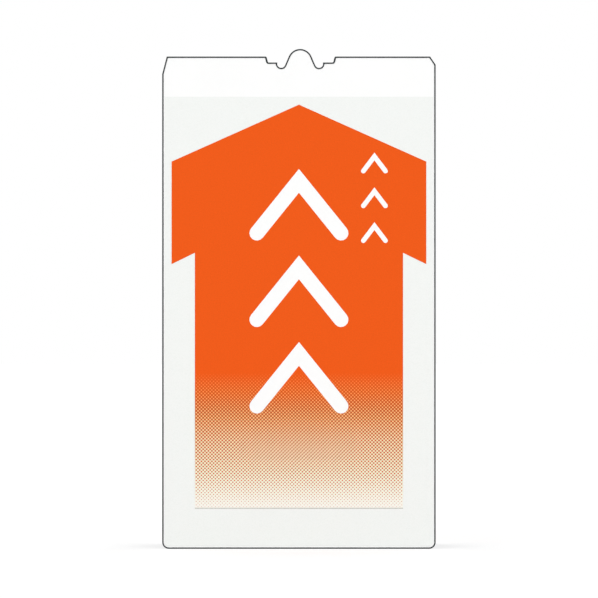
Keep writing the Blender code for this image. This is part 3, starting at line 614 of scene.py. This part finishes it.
def turned(profile, sides):
    """A mesh turned about Z from a profile of (radius, height) points in mm."""
    bm = bmesh.new()
    verts = [bm.verts.new((radius * MM, 0.0, height * MM)) for radius, height in profile]
    edges = [bm.edges.new(pair) for pair in zip(verts, verts[1:])]
    bmesh.ops.spin(
        bm,
        geom=[*verts, *edges],
        cent=(0, 0, 0),
        axis=(0, 0, 1),
        angle=2 * math.pi,
        steps=sides,
        use_merge=True,
    )
    bmesh.ops.remove_doubles(bm, verts=bm.verts, dist=MERGE / 2)
    bmesh.ops.recalc_face_normals(bm, faces=bm.faces)
    return bm


def arc(across, up, radius, start, end, steps):
    """Profile points on an arc, both ends included, with its angles in degrees from outward."""
    angles = [math.radians(start + (end - start) * i / steps) for i in range(steps + 1)]
    return [(across + radius * math.cos(a), up + radius * math.sin(a)) for a in angles]


def stand(bm, node, axis, sign, height, pointing):
    """Moves a shape made along +Z to where its CAD node seats, pointing along an axis.

    The height is how far the node reaches from its seat towards the middle of the sign.
    """
    low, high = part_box(node)
    place = (low + high) / 2
    place[axis] = sign * (min(abs(low[axis]), abs(high[axis])) + height)
    direction = Vector((0, 0, 0))
    direction[axis] = pointing
    turn = direction.to_track_quat("Z", "Y").to_matrix().to_4x4()
    bmesh.ops.transform(bm, matrix=Matrix.Translation(place) @ turn, verts=bm.verts)


def crown_faces(bm, low, reach):
    """Faces above a height, or those of them that lie in a cross of this reach."""
    crown = [f for f in bm.faces if min(v.co.z for v in f.verts) > low]
    if reach is None:
        return crown
    near = []
    for face in crown:
        x, y, _ = face.calc_center_median()
        across, along = sorted((abs(x), abs(y)))
        if across < min(RECESS_HALF_WIDTH, reach) and along < reach:
            near.append(face)
    return near


def panel_screw(side, number):
    """Washer-head screw: low pan head on a pressed washer, a cross recess, and a coarse thread."""
    node = f"{side}_panel_screw_{number}"
    thread = []
    for crest in (-0.7, -1.35, -2.0):
        thread += [(1.1, crest + 0.28), (1.4, crest + 0.05), (1.4, crest - 0.05), (1.1, crest - 0.28)]
    profile = [
        (0, 2.8),
        (0.7, 2.775),
        (1.4, 2.7),
        (2.0, 2.6),
        *arc(2.3, 1.5, 1.0, 75, 0, 4),
        (3.3, 1.0),
        *arc(3.55, 1.05, 0.25, 200, 265, 2),
        (4.3, 0.72),
        *arc(4.3, 0.4, 0.3, 70, 0, 2),
        (4.6, 0.16),
        (4.5, 0.0),
        (1.8, 0.0),
        (1.4, -0.2),
        *thread,
        (0.9, -2.6),
        (0.35, -3.0),
        (0, -3.05),
    ]
    bm = turned(profile, SCREW_SIDES)
    for axis in (Vector((1, 0, 0)), Vector((0, 1, 0))):
        for offset in (-RECESS_REACH, -RECESS_HALF_WIDTH, RECESS_HALF_WIDTH, RECESS_REACH):
            crown = crown_faces(bm, SCREW_CROWN, None)
            geom = {*crown, *[e for f in crown for e in f.edges], *[v for f in crown for v in f.verts]}
            cut = axis * offset
            bmesh.ops.bisect_plane(bm, geom=list(geom), dist=MERGE / 10, plane_co=cut, plane_no=axis)
    reach, low = RECESS_REACH, SCREW_CROWN
    for floor, taper in RECESS_FLOORS:
        roof = crown_faces(bm, low, reach)
        pit = bmesh.ops.extrude_face_region(bm, geom=roof)
        bmesh.ops.delete(bm, geom=roof, context="FACES")
        verts = [v for v in pit["geom"] if isinstance(v, bmesh.types.BMVert)]
        bmesh.ops.scale(bm, vec=(taper, taper, 1), verts=verts)
        for vert in verts:
            vert.co.z = floor
        reach, low = RECESS_HALF_WIDTH * taper, floor - MERGE
    stand(bm, node, 1, SIDES[side], SCREW_HEIGHT, -SIDES[side])
    place_piece(bm, node, "_washer_head", ZINC, side + "_board", STEEL_CREASE)


def hinge_pin(side, hand):
    """Cold-headed pin: domed head, plain shank, and a groove near its tip where the clip bites."""
    node = f"{side}_{hand}_hinge_pin"
    clip = -PIN_GRIP / MM
    profile = [
        (0, 1.4),
        (0.8, 1.37),
        (1.5, 1.24),
        (2.1, 1.0),
        (2.55, 0.66),
        (2.78, 0.32),
        (2.8, 0.12),
        (2.7, 0),
        (1.85, 0),
        (1.6, -0.2),
        (1.6, clip + 0.1),
        (1.42, clip),
        (1.42, clip - 0.75),
        (1.6, clip - 0.95),
        (1.6, clip - 2.0),
        *arc(1.15, clip - 2.15, 0.45, 0, -90, 3),
        (0, clip - 2.6),
    ]
    bm = turned(profile, PIN_SIDES)
    stand(bm, node, 0, HANDS[hand], PIN_HEAD_HEIGHT, -HANDS[hand])
    place_piece(bm, node, "_domed", ZINC, "bridge", STEEL_CREASE)


def pin_clip(side, hand):
    """Push-on clip pressed from spring strip: a flat rim and sprung teeth that lean outwards."""
    node = f"{side}_{hand}_pin_clip"
    sides = CLIP_TEETH * CLIP_STEPS_PER_TOOTH
    bm = bmesh.new()
    rings = []
    for radius, height in CLIP_RINGS:
        place = Matrix.Translation((0, 0, height * MM))
        ring = bmesh.ops.create_circle(bm, segments=sides, radius=radius * MM, matrix=place)
        rings.append({e for v in ring["verts"] for e in v.link_edges})
    for outer, inner in zip(rings, rings[1:]):
        bmesh.ops.bridge_loops(bm, edges=[*outer, *inner])
    slots = []
    for face in bm.faces:
        x, y, _ = face.calc_center_median()
        turn = math.atan2(y, x) / (2 * math.pi) * CLIP_TEETH % 1
        if math.hypot(x, y) < CLIP_SLOT_REACH and abs(turn - 0.5) > CLIP_TOOTH_HALF:
            slots.append(face)
    bmesh.ops.delete(bm, geom=slots, context="FACES")
    bmesh.ops.recalc_face_normals(bm, faces=bm.faces)
    if sum(f.normal.z for f in bm.faces) < 0:
        bmesh.ops.reverse_faces(bm, faces=bm.faces)
    bmesh.ops.solidify(bm, geom=bm.faces[:], thickness=CLIP_GAUGE)
    bmesh.ops.recalc_face_normals(bm, faces=bm.faces)
    stand(bm, node, 0, HANDS[hand], 0, HANDS[hand])
    place_piece(bm, node, "_toothed", ZINC, "bridge", STEEL_CREASE)


def rest_pad(side, hand):
    """Moulded bumper: a dome with grip rings, two grooves round its side and a stem through the web."""
    node = f"{side}_{hand}_rest_pad"
    crown = [(0, 13.6), (1.2, 13.6), (1.6, 13.95), (2.4, 14.0), (3.2, 13.95)]
    for radius, height in ((4.0, 13.8), (5.9, 13.15), (7.6, 12.1)):
        crown += [(radius - 0.35, height), (radius, height - 0.55), (radius + 0.35, height - 0.1)]
    side_wall = [(8.6, 11.3), (9.15, 10.4), (9.4, 9.2)]
    for height in (7.4, 4.6):
        side_wall += [(9.6, height + 0.6), (9.15, height + 0.3), (9.15, height - 0.3), (9.65, height - 0.6)]
    foot = [(9.8, 2.2), (9.98, 1.2), (10.0, 0.4), (9.7, 0), (2.6, 0)]
    stem = [(2.2, -0.3), (2.2, -1.6), (1.9, -1.9), (0, -1.9)]
    bm = turned([*crown, *side_wall, *foot, *stem], PAD_SIDES)
    stand(bm, node, 1, SIDES[side], PAD_HEIGHT, -SIDES[side])
    place_piece(bm, node, "_ringed", RUBBER, side + "_board", RUBBER_CREASE)


def collar_liner():
    """Tapered rubber sleeve with a rolled lip, two grip ridges and finer ones between them."""
    node = "collar_liner"

    def wall(height, proud):
        return LINER_MOUTH_RADIUS - height * LINER_SLOPE - proud, height

    pitch = LINER_LIP_FOOT / 3
    inside = [wall(1.0, 0)]
    for i in range(1, 9):
        middle = i * pitch / 3
        proud, half = (0.7, 1.0) if i % 3 == 0 else (0.25, 0.5)
        shape = ((-1, 0), (-0.6, 0.45), (-0.25, 0.93), (0, 1), (0.25, 0.93), (0.6, 0.45), (1, 0))
        inside += [wall(middle + step * half, share * proud) for step, share in shape]
    outer_foot = (LINER_MOUTH_RADIUS + LINER_WALL, 0.5)
    lip = wall(LINER_LIP_FOOT, -LINER_WALL)[0]
    top = LINER_TOP - 0.75
    profile = [
        outer_foot,
        (LINER_MOUTH_RADIUS + 1.9, 0),
        (LINER_MOUTH_RADIUS + 0.7, 0),
        (LINER_MOUTH_RADIUS + 0.15, 0.3),
        *inside,
        wall(top - 0.5, 0),
        *arc(wall(LINER_TOP, -0.7)[0], LINER_TOP - 0.7, 0.7, 180, 90, 4),
        *arc(lip + 2.25, top, 0.75, 90, -90, 6),
        (lip, LINER_LIP_FOOT),
        outer_foot,
    ]
    bm = turned(profile, LINER_SIDES)
    place_piece(bm, node, "_ridged", RUBBER, "bridge", RUBBER_CREASE)


moulding("cone_bridge", "bridge")
collar_liner()
for side in SIDES:
    moulding(side + "_shell", side + "_board", SIDES[side])
    face_panel(side)
    film(side, "reflective_sheet", 2, SHEETING)
    film(side, "arrow_base", 1, VINYL)
    film(side, "arrow_overlay", 0, INK)
    for number in SCREWS:
        panel_screw(side, number)
    for hand in HANDS:
        rest_pad(side, hand)
        hinge_pin(side, hand)
        pin_clip(side, hand)


def seen_rays(tree):
    """1 for rays from the camera, off gloss or through glass, and else 0."""
    rays = add_node(tree, "ShaderNodeLightPath").node.outputs
    direct = add_node(
        tree, "ShaderNodeMath", {0: rays["Is Camera Ray"], 1: rays["Is Glossy Ray"]}, operation="MAXIMUM"
    )
    return add_node(
        tree, "ShaderNodeMath", {0: direct, 1: rays["Is Transmission Ray"]}, operation="MAXIMUM"
    )


def make_floor():
    """A plain white floor under the boards' feet, which glows a little so that it meets the sky unseen."""
    bm = bmesh.new()
    place = Matrix.Translation((0, 0, FOOT_Z))
    bmesh.ops.create_grid(bm, x_segments=1, y_segments=1, size=FLOOR_REACH, matrix=place)
    mesh = bpy.data.meshes.new("floor")
    bm.to_mesh(mesh)
    bm.free()
    material, tree, shader = new_material("floor_white")
    seen = seen_rays(tree)
    colour = add_node(
        tree,
        "ShaderNodeMix",
        {"Factor": seen, 6: linear("#DCDCDC"), 7: linear("#AAAAAA")},
        output=2,
        data_type="RGBA",
    )
    glow = add_node(tree, "ShaderNodeMath", {0: seen, 1: FLOOR_GLOW}, operation="MULTIPLY")
    add_node(
        tree,
        shader,
        {
            "Base Color": colour,
            "Roughness": 1.0,
            "Specular IOR Level": 0.0,
            "Emission Color": (1.0, 1.0, 1.0, 1.0),
            "Emission Strength": glow,
        },
    )
    mesh.materials.append(material)
    floor = bpy.data.objects.new("floor", mesh)
    bpy.context.scene.collection.objects.link(floor)


def light_studio():
    """An even white sky, at full strength where the camera or a reflection sees it, and broad soft suns."""
    world = bpy.data.worlds.new("studio_sky")
    bpy.context.scene.world = world
    world.use_nodes = True
    tree = world.node_tree
    tree.nodes.clear()
    strength = add_node(
        tree, "ShaderNodeMapRange", {"Value": seen_rays(tree), "To Min": SKY_LIGHT, "To Max": 1.0}
    )
    sky = add_node(tree, "ShaderNodeBackground", {"Color": (1.0, 1.0, 1.0, 1.0), "Strength": strength})
    output = tree.nodes.new("ShaderNodeOutputWorld")
    tree.links.new(sky, output.inputs["Surface"])
    for name, (azimuth, elevation, energy) in SUNS.items():
        lamp = bpy.data.lights.new(name, "SUN")
        lamp.energy = energy
        lamp.angle = math.radians(SUN_SPREAD)
        sun = bpy.data.objects.new(name, lamp)
        around, up = math.radians(azimuth), math.radians(elevation)
        toward = Vector((math.sin(around) * math.cos(up), -math.cos(around) * math.cos(up), math.sin(up)))
        sun.rotation_euler = toward.to_track_quat("Z", "Y").to_euler()
        sun.location = toward * SUN_AWAY
        bpy.context.scene.collection.objects.link(sun)


make_floor()
light_studio()

lens = bpy.data.cameras.new("camera")
lens.sensor_width = SENSOR_WIDTH
lens.lens = SENSOR_WIDTH * CAMERA_AWAY / FRAME_WIDTH
lens.clip_end = CAMERA_REACH
camera = bpy.data.objects.new("camera", lens)
camera.location = (CAMERA_X, -FACE_Y - CAMERA_AWAY, CAMERA_Z)
camera.rotation_euler = (math.radians(90), 0, 0)
bpy.context.scene.collection.objects.link(camera)
bpy.context.scene.camera = camera
bpy.context.scene.view_settings.view_transform = "Standard"
